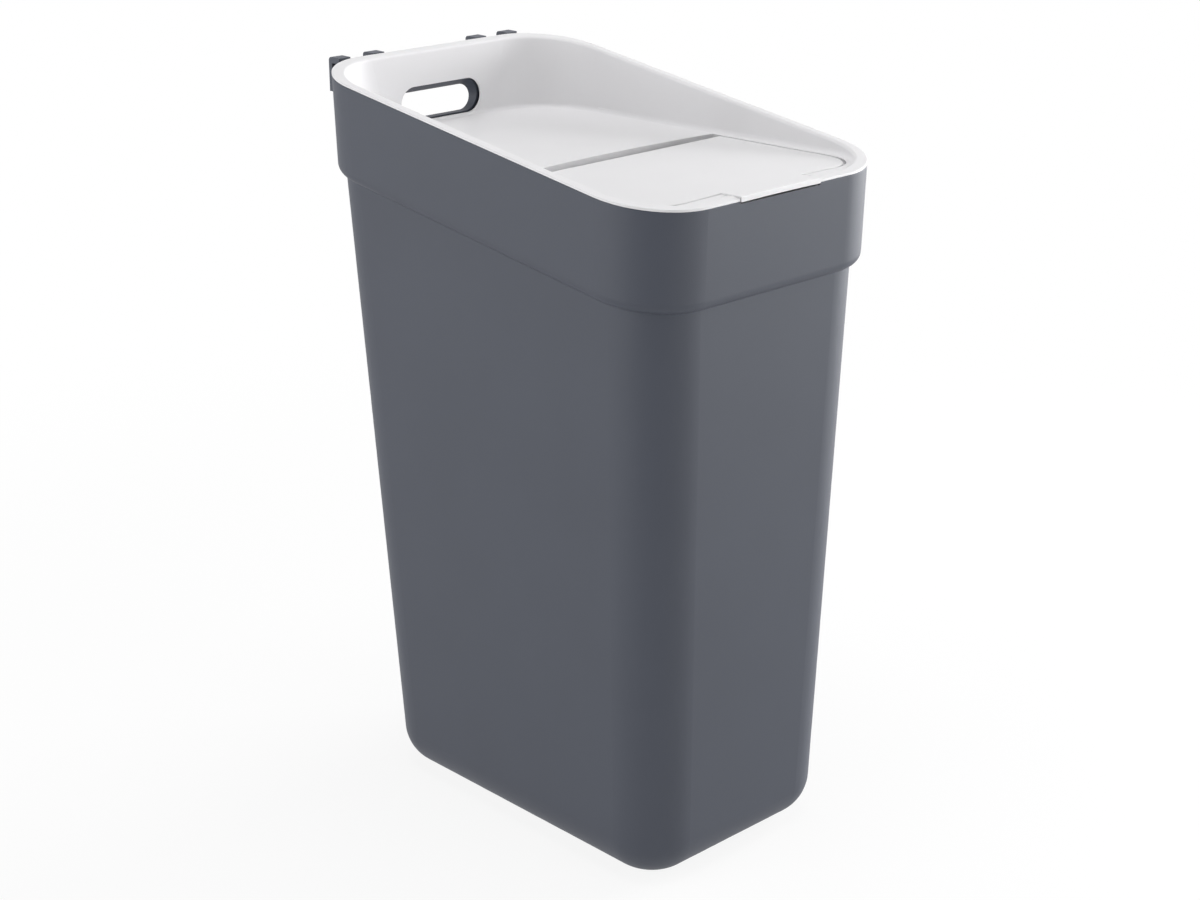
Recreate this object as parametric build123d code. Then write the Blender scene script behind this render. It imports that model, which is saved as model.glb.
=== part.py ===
from build123d import *
import math
import os

# Slim kitchen recycling bin: a tapered tub with a sloping collar, a lid frame that drops
# into the collar, and a flap that hinges on the frame. Millimetres, +Z up, the front (with
# the finger tab) towards -Y. The origin is on the floor, under the middle of the model.

# Collar and rim. The rim climbs towards the back.
rim_length = 337.0
rim_width = 229.0
rim_corner_radius = 49.3
rim_height = 500.0
rim_slope = 0.14
collar_height = 69.0
collar_slope = 0.138
collar_draft = 2.0
collar_edge_radius = 7.5
rim_edge_radius = 1.1

# Tub body, below the collar. Its foot sits a little forward of the rim.
body_top_length = 323.8
body_top_width = 208.5
body_top_corner_radius = 40.8
foot_length = 280.7
foot_width = 179.2
foot_corner_radius = 36.6
foot_shift = -9.0
foot_edge_radius = 31.0
tub_wall = 2.4
tub_floor = 3.0
foot_ring_width = 12.0
foot_recess = 1.5
foot_recess_radius = 8.0
body_overrun = 60.0

# Grip opening through the back of the collar, a funnel that narrows outwards.
grip_inner_length = 72.5
grip_inner_height = 23.4
grip_outer_length = 68.0
grip_outer_height = 18.8
grip_floor_height = 473.6
grip_wall = 2.0
grip_frame_gap = 0.6
grip_overrun = 0.2
grip_edge_radius = 0.8

# Hanging hooks on the back of the collar, in two pairs.
hook_pitch = 30.0
hook_pair_pitch = 125.0
hook_width = 10.0
hook_top_above_rim = 0.4
hook_bar_thickness = 4.2
hook_lip_thickness = 3.6
hook_lip_drop = 24.0
hook_root_drop = 16.0
hook_slot_width = 8.0
hook_corner_radius = 2.6
hook_stand_off = 0.8
hook_step = 3.4

# Lid frame: a flange on the rim, and a tray that sinks below it.
flange_thickness = 1.6
flange_width = 7.0
flange_back_width = 8.5
flange_edge_radius = 0.5
flange_inner_radius = 2.0
tray_corner_radius = 46.0
tray_back_corner_radius = 55.0
tray_wall = 1.8
tray_draft_front = 0.5
tray_draft_back = 5.0
tray_back_lean = 2.5
tray_floor_radius = 3.0
panel_height = 472.4
panel_fall = 0.018
panel_crown = 1.8
panel_thickness = 2.0
lid_grip_length = 74.4
lid_grip_height = 25.0
lid_grip_floor_height = 473.1
lid_grip_edge_radius = 0.5

# Throat of the frame, under the flap, and the skirt that seats the frame in the tub.
ledge_width = 5.0
ledge_thickness = 1.8
ledge_drop = 2.6
skirt_depth = 14.0
skirt_thickness = 1.6
seat_gap = 0.4
seat_depth = 8.0
stiffener_count = 3
stiffener_pitch = 50.0
stiffener_depth = 9.0
stiffener_thickness = 1.5
stiffener_end_gap = 8.0

# Flap and its hinge.
flap_half_width = 98.5
flap_front = -152.0
flap_corner_radius = 32.0
opening_corner_radius = 31.0
flap_thickness = 2.0
flap_gap = 1.2
flap_crown_at_hinge = 0.05
flap_crown_at_tab = 2.7
flap_edge_radius = 0.7
flap_rib_inset = 7.0
flap_rib_depth = 5.0
flap_rib_thickness = 1.5
tab_width = 73.4
tab_reach = 17.0
tab_thickness = 3.6
tab_side_gap = 0.6
tab_root = 0.3
tab_slot = 1.3
notch_relief = 6.5
notch_lip_slope = 0.6
notch_pocket_depth = 5.0
hinge_line = -24.0
barrel_radius = 4.5
barrel_wall = 2.0
barrel_sink = 0.15
barrel_front_gap = 1.0
barrel_back_gap = 4.6
pin_radius = 2.2
pin_length = 4.6
pin_clearance = 0.06
boss_thickness = 4.4
boss_radius = 6.0
snap_slot_width = 3.4

# Working sizes that follow from the ones above.
reach = 800.0
slab_height = 200.0
rim_front = -rim_length / 2
rim_back = rim_length / 2
tub_rim_height = rim_height - flange_thickness
collar_foot_height = rim_height - collar_height
tray_half_width = rim_width / 2 - flange_width
tray_front = rim_front + flange_width
tray_back = rim_back - flange_back_width
hinge_height = panel_height - panel_fall * hinge_line - barrel_sink - barrel_radius
barrel_front = hinge_line - barrel_radius - barrel_front_gap
barrel_back = hinge_line + barrel_radius + barrel_back_gap
tab_front = flap_front - tab_reach
notch_floor = panel_height - panel_fall * tab_front + flap_crown_at_tab - tab_thickness - tab_slot
grip_mouth = rim_back - tub_wall - collar_draft
tray_foot_drop = 6.0
grip_cut_depth = 2 * (rim_back - tray_back + tray_back_lean)
hooks_back = rim_back + hook_stand_off + hook_slot_width + hook_lip_thickness
middle_shift = -(tab_front + hooks_back) / 2


def sloped_plane(height, slope):
    """A plane that climbs towards the back and passes height above the origin."""
    return Plane(origin=(0, 0, height), x_dir=(1, 0, 0), z_dir=(0, -slope, 1))


def outline(front, back, half_front, half_back, radius_front, radius_back):
    """A four-sided plan outline with round corners, wider or narrower at the back."""
    shape = Polygon(
        (-half_front, front), (half_front, front), (half_back, back), (-half_back, back), align=None
    )
    front_corners = shape.vertices().sort_by(Axis.Y)[:2]
    shape = fillet(front_corners, radius_front)
    back_corners = shape.vertices().sort_by(Axis.Y)[-2:]
    return fillet(back_corners, radius_back)


def oblong(length, width, radius, shift=0.0):
    """The same outline, with parallel sides and equal corners, centred but for the shift."""
    half = width / 2
    return outline(shift - length / 2, shift + length / 2, half, half, radius, radius)


def slice_at(shape, plane):
    """The face that a sloping plane cuts from an upright prism on a plan outline."""
    prism = extrude(shape, amount=reach)
    return section(prism, section_by=plane).faces()[0]


def above(plane):
    """A block that fills everything above a plane."""
    return extrude(plane * Rectangle(reach, reach), amount=reach)


def body_form(inset, floor_height, edge_radius):
    """The tapered form of the tub, from its foot to past the rim, drawn in by the inset."""
    top_level = rim_height + body_overrun
    growth = top_level / collar_foot_height
    length = foot_length + (body_top_length - foot_length) * growth
    width = foot_width + (body_top_width - foot_width) * growth
    radius = foot_corner_radius + (body_top_corner_radius - foot_corner_radius) * growth
    shift = foot_shift * (1 - growth)
    foot = oblong(foot_length - 2 * inset, foot_width - 2 * inset, foot_corner_radius - inset, foot_shift)
    top = oblong(length - 2 * inset, width - 2 * inset, radius - inset, shift)
    form = loft([foot.face(), top.face().moved(Location((0, 0, top_level)))], ruled=True)
    if floor_height > 0:
        form = form & above(sloped_plane(floor_height, 0))
    bottom = form.faces().sort_by(Axis.Z)[0]
    return fillet(bottom.edges(), edge_radius)


def collar_form(inset, foot_lift, edge_radius, top_lift):
    """The outset collar: sloping top and foot, slight draft and a round lower edge."""
    low = collar_foot_height + foot_lift
    lower_inset = inset + collar_draft * (1 - foot_lift / collar_height)
    upper_inset = inset - collar_draft * top_lift / collar_height
    lower = oblong(rim_length - 2 * lower_inset, rim_width - 2 * lower_inset, rim_corner_radius - lower_inset)
    upper = oblong(rim_length - 2 * upper_inset, rim_width - 2 * upper_inset, rim_corner_radius - upper_inset)
    lower_face = slice_at(lower, sloped_plane(low, collar_slope))
    upper_face = slice_at(upper, sloped_plane(tub_rim_height + top_lift, rim_slope))
    form = loft([lower_face, upper_face], ruled=True)
    bottom = form.faces().sort_by(Axis.Z)[0]
    return fillet(bottom.edges(), edge_radius)


def stadium(length, height, floor_height):
    """A slot with round ends, standing on its long side, drawn on the XZ plane."""
    place = Plane.XZ * Location((0, floor_height + height / 2))
    return place * SlotOverall(length, height)


def grip_funnel(grow):
    """The form of the grip opening, from inside the collar to outside it."""
    inner_y = tray_back + tray_wall + grip_frame_gap
    outer_y = rim_back + grip_overrun
    inner = stadium(grip_inner_length + 2 * grow, grip_inner_height + 2 * grow, grip_floor_height - grow)
    outer = stadium(grip_outer_length + 2 * grow, grip_outer_height + 2 * grow, grip_floor_height - grow)
    inner_face = inner.face().moved(Location((0, inner_y, 0)))
    outer_face = outer.face().moved(Location((0, outer_y, 0)))
    return loft([inner_face, outer_face], ruled=True)


def hook(centre):
    """One hanging hook: a root on the collar, a bar out over the rim and a lip that drops."""
    wall_y = rim_back - collar_draft / 2
    top = rim_height + rim_slope * rim_back + hook_top_above_rim
    bar_low = top - hook_bar_thickness
    near = rim_back + hook_stand_off
    root = wall_y - hook_stand_off
    lip_near = near + hook_slot_width
    lip_far = lip_near + hook_lip_thickness
    points = [
        (root, top - hook_root_drop),
        (near, top - hook_root_drop + hook_step),
        (near, bar_low),
        (lip_near, bar_low),
        (lip_near, top - hook_lip_drop),
        (lip_far, top - hook_lip_drop),
        (lip_far, top),
        (near, top),
        (near, top - hook_step),
        (root, top - hook_step),
    ]
    profile = Plane.YZ * Polygon(*points, align=None)
    bar = extrude(profile, amount=hook_width / 2, both=True)
    outer = bar.edges().filter_by(Axis.X).sort_by(Axis.Y)[-2:].sort_by(Axis.Z)[-1]
    bar = fillet(outer, hook_corner_radius)
    return bar.moved(Location((centre, 0, 0)))


def make_tub():
    """The tub, one moulding: walls, foot, collar, grip funnel and hanging hooks."""
    cut_plane = sloped_plane(collar_foot_height + collar_height / 2, collar_slope)
    outer = body_form(0, 0, foot_edge_radius) - above(cut_plane)
    collar = collar_form(0, 0, collar_edge_radius, 0)
    collar = fillet(collar.faces().sort_by(Axis.Z)[-1].edges(), rim_edge_radius)
    hollow = body_form(tub_wall, tub_floor, foot_edge_radius - tub_wall) - above(cut_plane)
    hollow += collar_form(tub_wall, tub_wall, collar_edge_radius - tub_wall, collar_height)
    tub = outer + collar - hollow
    ring_inset = foot_edge_radius + foot_ring_width
    recess = oblong(foot_length - 2 * ring_inset, foot_width - 2 * ring_inset, foot_recess_radius, foot_shift)
    tub -= extrude(recess, amount=foot_recess)
    tub += grip_funnel(grip_wall)
    tub -= grip_funnel(0)
    grip_slot = stadium(grip_outer_length, grip_outer_height, grip_floor_height)
    tub -= extrude(grip_slot.face().moved(Location((0, grip_mouth, 0))), amount=-tub_wall - collar_draft)
    lip_height = notch_floor + notch_lip_slope * rim_front
    tub -= tab_notch(0, sloped_plane(lip_height, -notch_lip_slope))
    for side in (-1, 1):
        for step in (-1, 1):
            tub += hook(side * hook_pair_pitch / 2 + step * hook_pitch / 2)
    return tub


def crowned(top, bottom, crown_front, crown_back, front, back):
    """A slab between two offsets from the lid's surface, arched across its width."""
    sections = []
    for place, crown in ((front, crown_front), (back, crown_back)):
        radius = (tray_half_width**2 + crown**2) / (2 * crown)
        reach_x = rim_width / 2
        sag = crown - radius + math.sqrt(radius**2 - reach_x**2)
        upper = ThreePointArc((-reach_x, sag + top), (0, crown + top), (reach_x, sag + top))
        lower = ThreePointArc((-reach_x, sag + bottom), (0, crown + bottom), (reach_x, sag + bottom))
        left = Line(upper @ 0, lower @ 0)
        right = Line(upper @ 1, lower @ 1)
        height = panel_height - panel_fall * place
        plane = Plane(origin=(0, place, height), x_dir=(1, 0, 0), z_dir=(0, -1, 0))
        sections.append((plane * make_face([upper, right, lower, left])).face())
    return loft(sections, ruled=True)


def frame_slab(top, bottom):
    """A slab of the lid frame, between two offsets from the surface of its panel."""
    return crowned(top, bottom, panel_crown, panel_crown, 2 * rim_front, 2 * rim_back)


def tray_form(grow):
    """The tray that sinks from the rim: steep sides, deeper and narrower at the back."""
    top = outline(
        tray_front - grow,
        tray_back + grow,
        tray_half_width + grow,
        tray_half_width + grow,
        tray_corner_radius + grow,
        tray_corner_radius + grow,
    )
    base = outline(
        tray_front + tray_draft_front - grow,
        tray_back - tray_back_lean + grow,
        tray_half_width - tray_draft_front + grow,
        tray_half_width - tray_draft_back + grow,
        tray_corner_radius + grow,
        tray_back_corner_radius + grow,
    )
    base_face = slice_at(base, sloped_plane(panel_height - tray_foot_drop, -panel_fall))
    top_face = slice_at(top, sloped_plane(rim_height, rim_slope))
    return loft([base_face, top_face], ruled=True)


def ring(outer, inner, high, low):
    """A wall that follows two plan outlines, from one sloping plane down to another."""
    wall = extrude(outer, amount=reach) - extrude(inner, amount=reach)
    return wall - above(high) - (extrude(outer, amount=reach) - above(low))


def flap_outline(grow, rear, corner_radius=flap_corner_radius):
    """The plan outline of the flap, grown on its front and sides, with round front corners."""
    half = flap_half_width + grow
    shape = Polygon(
        (-half, flap_front - grow), (half, flap_front - grow), (half, rear), (-half, rear), align=None
    )
    return fillet(shape.vertices().sort_by(Axis.Y)[:2], corner_radius + grow)


def opening_outline(grow, rear):
    """The plan outline of the opening that the flap lies in. Its gap is widest at the corners."""
    return flap_outline(flap_gap + grow, rear, opening_corner_radius - flap_gap)


def tab_outline(grow):
    """The plan outline of the finger tab, from inside the flap to the face of the rim."""
    half = tab_width / 2 + grow
    return Polygon(
        (-half, flap_front - tab_reach - grow),
        (half, flap_front - tab_reach - grow),
        (half, flap_front + tab_root),
        (-half, flap_front + tab_root),
        align=None,
    )


def tab_notch(relief, floor_plane):
    """The space that the finger tab lies in, down to a floor under it."""
    half = tab_width / 2 + tab_side_gap
    far = rim_front - tab_reach
    near = flap_front + tab_root + tab_side_gap
    space = Polygon((-half, far), (half, far), (half, near), (-half, near), align=None)
    if relief > 0:
        corner = Polygon((0, near), (-half - relief, near - relief), (0, near - relief), align=None)
        space += corner + mirror(corner, about=Plane.YZ)
    block = extrude(space, amount=rim_height + rim_slope * rim_back)
    return block - (block - above(floor_plane))


def hinge_rod(radius, start, end):
    """A rod along the hinge line between two places across the lid."""
    plane = Plane(origin=(start, hinge_line, hinge_height), z_dir=(1, 0, 0))
    return extrude(plane * Circle(radius), amount=end - start)


def make_lid_frame():
    """The lid frame, one moulding: flange, tray, rear panel, throat, hinge bosses."""
    rim_plane = sloped_plane(rim_height, rim_slope)
    tub_plane = sloped_plane(tub_rim_height, rim_slope)
    frame = tray_form(tray_wall) & frame_slab(slab_height, -panel_thickness)
    rim_outline = oblong(rim_length, rim_width, rim_corner_radius)
    plate = extrude(rim_outline, amount=reach)
    frame += plate - above(rim_plane) - (plate - above(tub_plane))
    hollow = tray_form(0) & frame_slab(slab_height, 0)
    frame -= fillet(hollow.faces().sort_by(Axis.Z)[0].edges(), tray_floor_radius)
    frame = fillet(rim_face(frame).inner_wires()[0].edges(), flange_inner_radius)
    frame = fillet(rim_face(frame).outer_wire().edges(), flange_edge_radius)
    frame -= extrude(opening_outline(0, barrel_back), amount=reach)
    seat = tub_wall + seat_gap
    skirt_outer = oblong(rim_length - 2 * seat, rim_width - 2 * seat, rim_corner_radius - seat)
    seat += skirt_thickness
    skirt_inner = oblong(rim_length - 2 * seat, rim_width - 2 * seat, rim_corner_radius - seat)
    frame += ring(skirt_outer, skirt_inner, tub_plane, sloped_plane(tub_rim_height - seat_depth, rim_slope))
    frame += throat()
    for side in (-1, 1):
        frame += hinge_boss(side)
        frame -= hinge_socket(side)
    for index in range(stiffener_count):
        frame += stiffener(index)
    frame -= tab_notch(notch_relief, sloped_plane(notch_floor, 0))
    frame += notch_pocket()
    frame -= tab_notch(0, sloped_plane(notch_floor - notch_pocket_depth, 0))
    grip = stadium(lid_grip_length, lid_grip_height, lid_grip_floor_height)
    frame -= extrude(grip.face().moved(Location((0, rim_back, 0))), amount=grip_cut_depth)
    return frame


def rim_face(frame):
    """The flat top of the flange: the face whose centre lies on the plane of the rim."""
    return frame.faces().sort_by(lambda face: abs(face.center().Z - rim_height - rim_slope * face.center().Y))[0]


def throat():
    """The ledge that the flap lies on, its edge wall, and the chute below it."""
    ledge_foot = ledge_drop + ledge_thickness
    edge_wall = extrude(opening_outline(skirt_thickness, barrel_back), amount=reach)
    edge_wall -= extrude(opening_outline(0, barrel_back), amount=reach)
    parts = edge_wall & frame_slab(0, -ledge_foot)
    inner = -flap_gap - ledge_width
    ledge = extrude(opening_outline(0, barrel_front), amount=reach)
    ledge -= extrude(opening_outline(inner, barrel_front), amount=reach)
    parts += ledge & frame_slab(-ledge_drop, -ledge_foot)
    chute = extrude(opening_outline(inner + skirt_thickness, barrel_front), amount=reach)
    chute -= extrude(opening_outline(inner, barrel_front), amount=reach)
    parts += chute & frame_slab(-ledge_drop, -ledge_foot - skirt_depth)
    apron_middle = barrel_back + skirt_thickness / 2
    apron_width = 2 * (flap_half_width + flap_gap) + skirt_thickness
    apron = Location((0, apron_middle)) * Rectangle(apron_width, skirt_thickness)
    parts += extrude(apron, amount=reach) & frame_slab(0, -ledge_foot - skirt_depth)
    return parts


def hinge_boss(side):
    """One hinge boss beside the flap, hanging from the frame's side ledge."""
    inner = side * (flap_half_width + flap_gap)
    outer = inner + side * boss_thickness
    boss = hinge_rod(boss_radius, inner, outer)
    middle = (inner + outer) / 2
    block = Location((middle, hinge_line)) * Rectangle(boss_thickness, 2 * boss_radius)
    boss += extrude(block, amount=reach) & above(sloped_plane(hinge_height, 0))
    return boss & frame_slab(0, -slab_height)


def hinge_socket(side):
    """The bore of a boss, with the slot below it that the pin snaps in through."""
    inner = side * (flap_half_width + flap_gap - skirt_thickness)
    outer = side * (flap_half_width + flap_gap + 2 * boss_thickness)
    socket = hinge_rod(pin_radius + pin_clearance, inner, outer)
    middle = (inner + outer) / 2
    slot = Location((middle, hinge_line)) * Rectangle(abs(outer - inner), snap_slot_width)
    return socket + extrude(slot, amount=hinge_height)


def stiffener(index):
    """One rib along the underside of the rear panel."""
    place = (index - (stiffener_count - 1) / 2) * stiffener_pitch
    start = barrel_back + skirt_thickness / 2
    end = tray_back - stiffener_end_gap
    plan = Location((place, (start + end) / 2)) * Rectangle(stiffener_thickness, end - start)
    return extrude(plan, amount=reach) & frame_slab(-panel_thickness / 2, -panel_thickness - stiffener_depth)


def notch_pocket():
    """The walls and floor of the finger pocket under the tab, before it is hollowed."""
    half = tab_width / 2 + tab_side_gap + skirt_thickness
    front = rim_front + tub_wall + seat_gap
    back = flap_front + ledge_width - skirt_thickness / 2
    plan = Location((0, (front + back) / 2)) * Rectangle(2 * half, back - front)
    block = extrude(plan, amount=notch_floor)
    return block & above(sloped_plane(notch_floor - notch_pocket_depth - ledge_thickness, 0))


def flap_slab(top, bottom):
    """A slab of the flap: flat along the hinge, and arched more than the frame at the tab."""
    front = tab_front - tab_reach
    growth = (hinge_line - front) / (hinge_line - tab_front)
    crown = flap_crown_at_hinge + (flap_crown_at_tab - flap_crown_at_hinge) * growth
    return crowned(top, bottom, crown, flap_crown_at_hinge, front, hinge_line)


def upper_edges(flap):
    """The edges round the top of the flap and its tab, without the one along the hinge."""
    tops = [face for face in flap.faces() if face.normal_at().Z > 1 - panel_fall]
    shared = [edge for face in tops for edge in face.edges() if edge.center().Y < hinge_line - barrel_radius]
    return [edge for edge in shared if sum(edge.is_same(other) for other in shared) == 1]


def make_flap():
    """The flap, one moulding: plate, finger tab, ribs, curled hinge edge and stub pins."""
    flap = extrude(flap_outline(0, hinge_line), amount=reach) & flap_slab(0, -flap_thickness)
    flap += extrude(tab_outline(0), amount=reach) & flap_slab(0, -tab_thickness)
    flap = fillet(upper_edges(flap), flap_edge_radius)
    rib_rear = barrel_front
    rib = extrude(flap_outline(-flap_rib_inset, rib_rear), amount=reach)
    rib -= extrude(flap_outline(-flap_rib_inset - flap_rib_thickness, rib_rear), amount=reach)
    flap += rib & flap_slab(-flap_thickness / 2, -flap_thickness - flap_rib_depth)
    curl = hinge_rod(barrel_radius, -flap_half_width, flap_half_width)
    cap = flap_half_width - barrel_wall
    bore = hinge_rod(barrel_radius - barrel_wall, -cap, cap)
    mouth_plan = Location((0, hinge_line - barrel_radius)) * Rectangle(2 * cap, 2 * barrel_radius)
    mouth = extrude(mouth_plan, amount=hinge_height)
    flap += curl - bore - mouth
    for side in (-1, 1):
        start = side * (flap_half_width - barrel_wall / 2)
        flap += hinge_rod(pin_radius, start, side * (flap_half_width + pin_length))
    return flap


os.makedirs("parts", exist_ok=True)
for name, make in (("tub", make_tub), ("lid_frame", make_lid_frame), ("flap", make_flap)):
    piece = make().moved(Location((0, middle_shift, 0)))
    box = piece.bounding_box()
    print(name, "solids", len(piece.solids()), "volume", round(piece.volume), "box", box.min, box.max)
    export_step(piece, f"parts/{name}.step")
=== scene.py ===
import bpy
import math
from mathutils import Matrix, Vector

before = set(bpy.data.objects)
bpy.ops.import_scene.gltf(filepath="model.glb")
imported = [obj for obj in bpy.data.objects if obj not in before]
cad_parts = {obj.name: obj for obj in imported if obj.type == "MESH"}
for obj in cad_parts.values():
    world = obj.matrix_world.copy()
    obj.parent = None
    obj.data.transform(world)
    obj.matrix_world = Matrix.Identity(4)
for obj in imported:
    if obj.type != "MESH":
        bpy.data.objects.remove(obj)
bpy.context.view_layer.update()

# Tub
# One injection moulding in dark blue-grey polypropylene, with a fine spark-eroded matt skin.
# The walls taper to the rounded foot, and the collar, grip funnel and hooks are part of it.


def moulded_skin_group():
    """Grain and slight colour drift of a moulded plastic skin, from the piece's own coordinates."""
    group = bpy.data.node_groups.new("moulded_skin", "ShaderNodeTree")
    face = group.interface
    for name, start in (("Grain Size", 0.0006), ("Grain Contrast", 0.5), ("Drift Size", 0.06)):
        socket = face.new_socket(name=name, in_out="INPUT", socket_type="NodeSocketFloat")
        socket.default_value = start
    for name in ("Grain", "Drift"):
        face.new_socket(name=name, in_out="OUTPUT", socket_type="NodeSocketFloat")
    nodes, links = group.nodes, group.links
    inlet = nodes.new("NodeGroupInput")
    outlet = nodes.new("NodeGroupOutput")
    place = nodes.new("ShaderNodeTexCoord")

    def noise_at(size_name, detail):
        """Noise with spots of about the named size in metres."""
        per_metre = nodes.new("ShaderNodeMath")
        per_metre.operation = "DIVIDE"
        per_metre.inputs[0].default_value = 1.0
        links.new(inlet.outputs[size_name], per_metre.inputs[1])
        noise = nodes.new("ShaderNodeTexNoise")
        noise.inputs["Detail"].default_value = detail
        links.new(place.outputs["Object"], noise.inputs["Vector"])
        links.new(per_metre.outputs[0], noise.inputs["Scale"])
        return noise.outputs["Fac"]

    middle_grey = 0.5
    grain = noise_at("Grain Size", detail=3.0)
    above_middle = nodes.new("ShaderNodeMath")
    above_middle.operation = "SUBTRACT"
    above_middle.inputs[1].default_value = middle_grey
    links.new(grain, above_middle.inputs[0])
    contrast = nodes.new("ShaderNodeMath")
    contrast.operation = "MULTIPLY_ADD"
    contrast.inputs[2].default_value = middle_grey
    links.new(above_middle.outputs[0], contrast.inputs[0])
    links.new(inlet.outputs["Grain Contrast"], contrast.inputs[1])
    links.new(contrast.outputs[0], outlet.inputs["Grain"])
    links.new(noise_at("Drift Size", detail=2.0), outlet.inputs["Drift"])
    return group


moulded_skin = moulded_skin_group()


def plastic(name, dark, light, roughness, grain_size, grain_contrast, grain_height):
    """A moulded plastic: two close tones that drift over the piece, and a grained surface."""
    tone_gain = 2.0
    roughness_spread = 0.04
    material = bpy.data.materials.new(name)
    material.use_nodes = True
    nodes, links = material.node_tree.nodes, material.node_tree.links
    shader = nodes["Principled BSDF"]
    skin = nodes.new("ShaderNodeGroup")
    skin.node_tree = moulded_skin
    skin.inputs["Grain Size"].default_value = grain_size
    skin.inputs["Grain Contrast"].default_value = grain_contrast
    tone = nodes.new("ShaderNodeMix")
    tone.data_type = "RGBA"
    tone.inputs["A"].default_value = (*dark, 1.0)
    tone.inputs["B"].default_value = (*light, 1.0)
    grain_and_drift = nodes.new("ShaderNodeMath")
    grain_and_drift.operation = "MULTIPLY"
    links.new(skin.outputs["Grain"], grain_and_drift.inputs[0])
    links.new(skin.outputs["Drift"], grain_and_drift.inputs[1])
    tone_share = nodes.new("ShaderNodeMath")
    tone_share.operation = "MULTIPLY"
    tone_share.inputs[1].default_value = tone_gain
    links.new(grain_and_drift.outputs[0], tone_share.inputs[0])
    links.new(tone_share.outputs[0], tone.inputs["Factor"])
    links.new(tone.outputs["Result"], shader.inputs["Base Color"])
    roughness_map = nodes.new("ShaderNodeMapRange")
    roughness_map.inputs["To Min"].default_value = roughness - roughness_spread
    roughness_map.inputs["To Max"].default_value = roughness + roughness_spread
    links.new(skin.outputs["Grain"], roughness_map.inputs["Value"])
    links.new(roughness_map.outputs["Result"], shader.inputs["Roughness"])
    bump = nodes.new("ShaderNodeBump")
    bump.inputs["Distance"].default_value = grain_height
    bump.inputs["Strength"].default_value = 1.0
    links.new(skin.outputs["Grain"], bump.inputs["Height"])
    links.new(bump.outputs["Normal"], shader.inputs["Normal"])
    return material


def dress(node, material):
    """Gives a CAD node its material."""
    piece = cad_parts[node]
    piece.data.materials.clear()
    piece.data.materials.append(material)


tub_plastic = plastic(
    "tub_plastic",
    dark=(0.041, 0.047, 0.065),
    light=(0.047, 0.054, 0.074),
    roughness=0.55,
    grain_size=0.0007,
    grain_contrast=0.8,
    grain_height=0.00006,
)
dress("tub", tub_plastic)

# Lid frame
# One light grey polypropylene moulding that drops into the collar and hangs from it by its
# flange. A satin skin, finer than the tub's.
lid_plastic = plastic(
    "lid_plastic",
    dark=(0.735, 0.730, 0.742),
    light=(0.775, 0.770, 0.782),
    roughness=0.5,
    grain_size=0.0005,
    grain_contrast=0.5,
    grain_height=0.00002,
)
dress("lid_frame", lid_plastic)

# Flap
# The same polypropylene from its own mould, a shade lighter than the lid frame.
# Two stub pins at its back edge snap into bosses of the frame, and it turns up about them.
flap_plastic = plastic(
    "flap_plastic",
    dark=(0.745, 0.740, 0.752),
    light=(0.785, 0.780, 0.792),
    roughness=0.5,
    grain_size=0.0005,
    grain_contrast=0.5,
    grain_height=0.00002,
)
dress("flap", flap_plastic)

# Floor
# A plain pale floor that runs out of sight. It keeps the bin's soft shadow close to the foot,
# and from there outwards it turns to the white of the room.


def seen_rays(nodes, links):
    """One for camera, glossy and transmission rays, so that all three see the white room."""
    rays = nodes.new("ShaderNodeLightPath")
    seen = rays.outputs["Is Camera Ray"]
    for kind in ("Is Glossy Ray", "Is Transmission Ray"):
        either = nodes.new("ShaderNodeMath")
        either.operation = "MAXIMUM"
        links.new(seen, either.inputs[0])
        links.new(rays.outputs[kind], either.inputs[1])
        seen = either.outputs[0]
    return seen


floor_reach = 12.0
shadow_radius = 0.3
white_radius = 1.2
white_share_at_foot = 0.88
floor_mesh = bpy.data.meshes.new("floor")
floor_corners = [(-floor_reach, -floor_reach, 0), (floor_reach, -floor_reach, 0)]
floor_corners += [(floor_reach, floor_reach, 0), (-floor_reach, floor_reach, 0)]
floor_mesh.from_pydata(floor_corners, [], [(0, 1, 2, 3)])
floor = bpy.data.objects.new("floor", floor_mesh)
bpy.context.scene.collection.objects.link(floor)
floor_paint = bpy.data.materials.new("floor_paint")
floor_paint.use_nodes = True
floor_nodes, floor_links = floor_paint.node_tree.nodes, floor_paint.node_tree.links
floor_shader = floor_nodes["Principled BSDF"]
floor_shader.inputs["Base Color"].default_value = (0.92, 0.92, 0.92, 1.0)
floor_shader.inputs["Roughness"].default_value = 0.9
floor_shader.inputs["Specular IOR Level"].default_value = 0.0
floor_glow = floor_nodes.new("ShaderNodeEmission")
floor_glow.inputs["Strength"].default_value = 1.0
floor_mix = floor_nodes.new("ShaderNodeMixShader")
floor_rays = seen_rays(floor_nodes, floor_links)
floor_place = floor_nodes.new("ShaderNodeTexCoord")
floor_distance = floor_nodes.new("ShaderNodeVectorMath")
floor_distance.operation = "LENGTH"
floor_links.new(floor_place.outputs["Object"], floor_distance.inputs[0])
floor_whiteness = floor_nodes.new("ShaderNodeMapRange")
floor_whiteness.interpolation_type = "SMOOTHSTEP"
floor_whiteness.inputs["From Min"].default_value = shadow_radius
floor_whiteness.inputs["From Max"].default_value = white_radius
floor_whiteness.inputs["To Min"].default_value = white_share_at_foot
floor_whiteness.inputs["To Max"].default_value = 1.0
floor_links.new(floor_distance.outputs["Value"], floor_whiteness.inputs["Value"])
floor_share = floor_nodes.new("ShaderNodeMath")
floor_share.operation = "MULTIPLY"
floor_links.new(floor_rays, floor_share.inputs[0])
floor_links.new(floor_whiteness.outputs["Result"], floor_share.inputs[1])
floor_links.new(floor_share.outputs[0], floor_mix.inputs["Fac"])
floor_links.new(floor_shader.outputs["BSDF"], floor_mix.inputs[1])
floor_links.new(floor_glow.outputs["Emission"], floor_mix.inputs[2])
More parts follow.
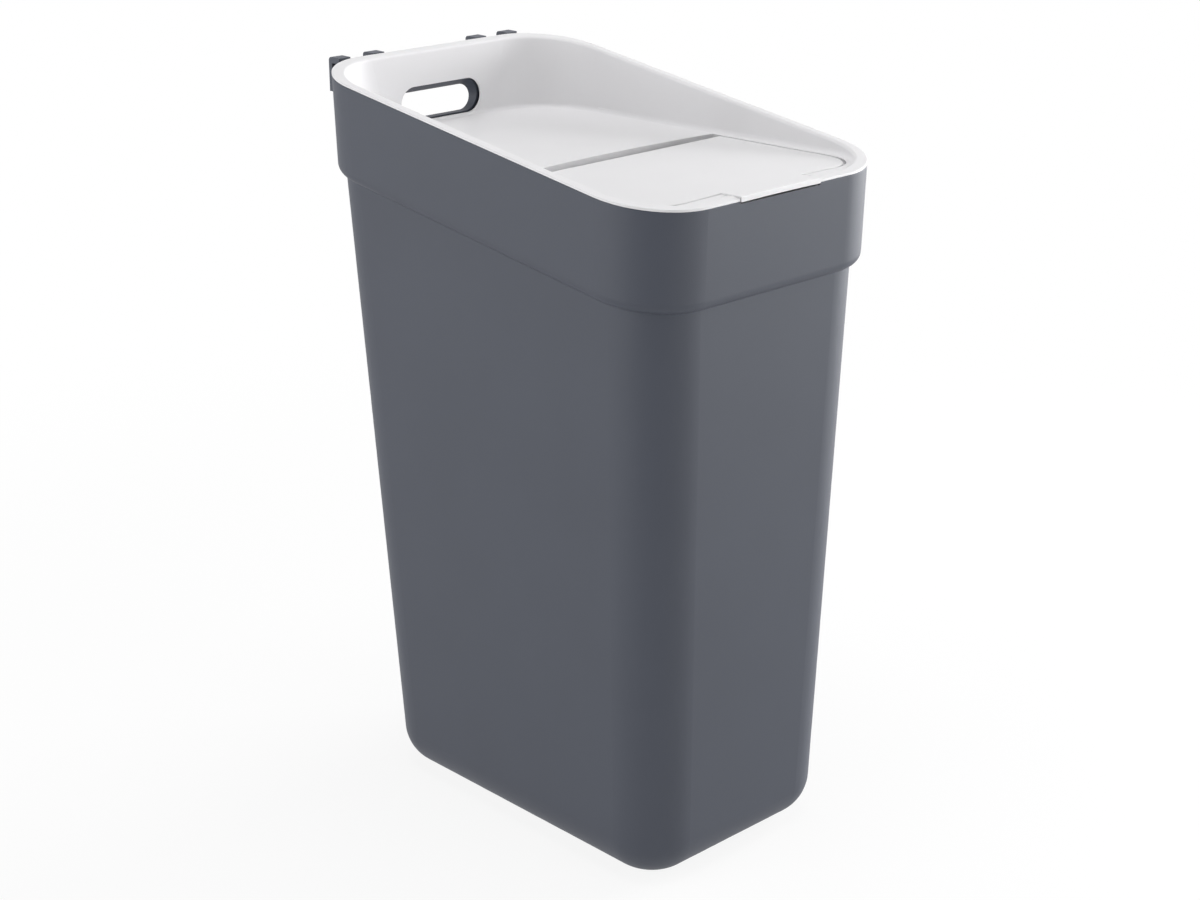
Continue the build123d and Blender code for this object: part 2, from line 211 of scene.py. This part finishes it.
floor_links.new(floor_mix.outputs["Shader"], floor_nodes["Material Output"].inputs["Surface"])
floor_mesh.materials.append(floor_paint)

# Studio light
# A room that looks white and gives almost no light of its own, with six square softboxes:
# one overhead, three on the left, a weak one in front and a strong one on the right.
room_strength = 0.02
world = bpy.data.worlds.new("studio")
bpy.context.scene.world = world
world.use_nodes = True
world_nodes, world_links = world.node_tree.nodes, world.node_tree.links
room = world_nodes["Background"]
room.inputs["Color"].default_value = (1.0, 1.0, 1.0, 1.0)
room.inputs["Strength"].default_value = room_strength
white = world_nodes.new("ShaderNodeBackground")
white.inputs["Color"].default_value = (1.0, 1.0, 1.0, 1.0)
white.inputs["Strength"].default_value = 1.0
world_mix = world_nodes.new("ShaderNodeMixShader")
world_links.new(seen_rays(world_nodes, world_links), world_mix.inputs["Fac"])
world_links.new(room.outputs["Background"], world_mix.inputs[1])
world_links.new(white.outputs["Background"], world_mix.inputs[2])
world_links.new(world_mix.outputs["Shader"], world_nodes["World Output"].inputs["Surface"])

softbox_side = 1.6
lit_point = Vector((0, 0, 0.3))


def softbox(name, place, power):
    """A large square area light at a place, turned to face the middle of the bin."""
    lamp = bpy.data.lights.new(name, "AREA")
    lamp.shape = "SQUARE"
    lamp.size = softbox_side
    lamp.energy = power
    box = bpy.data.objects.new(name, lamp)
    bpy.context.scene.collection.objects.link(box)
    box.location = place
    box.rotation_euler = (lit_point - Vector(place)).to_track_quat("-Z", "Y").to_euler()


softbox("overhead", (0, 0, 2.6), power=33)
softbox("behind_left", (-1.9, 1.5, 0.4), power=13.4)
softbox("low_left", (-2.4, 0.2, 0.3), power=26)
softbox("high_left", (-2.2, 0.5, 1.5), power=12)
softbox("front", (0.6, -2.2, 0.8), power=19)
softbox("right", (2.4, -0.6, 0.7), power=95)

# Camera
# Above the front left corner, at the photograph's angle and distance. Its lens gives the
# photograph's view across a frame 1200 pixels wide.
picture_width = 1200
focal_pixels = 2229.96
camera_distance = 1.5763
turn = math.radians(-43.788)
tilt = math.radians(20.096)
rim_middle_offset = -0.00595
camera_data = bpy.data.cameras.new("camera")
camera = bpy.data.objects.new("camera", camera_data)
bpy.context.scene.collection.objects.link(camera)
camera_data.sensor_fit = "HORIZONTAL"
camera_data.sensor_width = 36.0
camera_data.lens = focal_pixels / picture_width * camera_data.sensor_width
back = Vector((math.sin(turn) * math.cos(tilt), -math.cos(turn) * math.cos(tilt), math.sin(tilt)))
aim_point = Vector((0.0050, -0.0006 + rim_middle_offset, 0.2583))
camera.location = aim_point + back * camera_distance
camera.rotation_euler = (-back).to_track_quat("-Z", "Y").to_euler()
camera_data.clip_end = 50.0
bpy.context.scene.camera = camera
bpy.context.scene.view_settings.view_transform = "Standard"
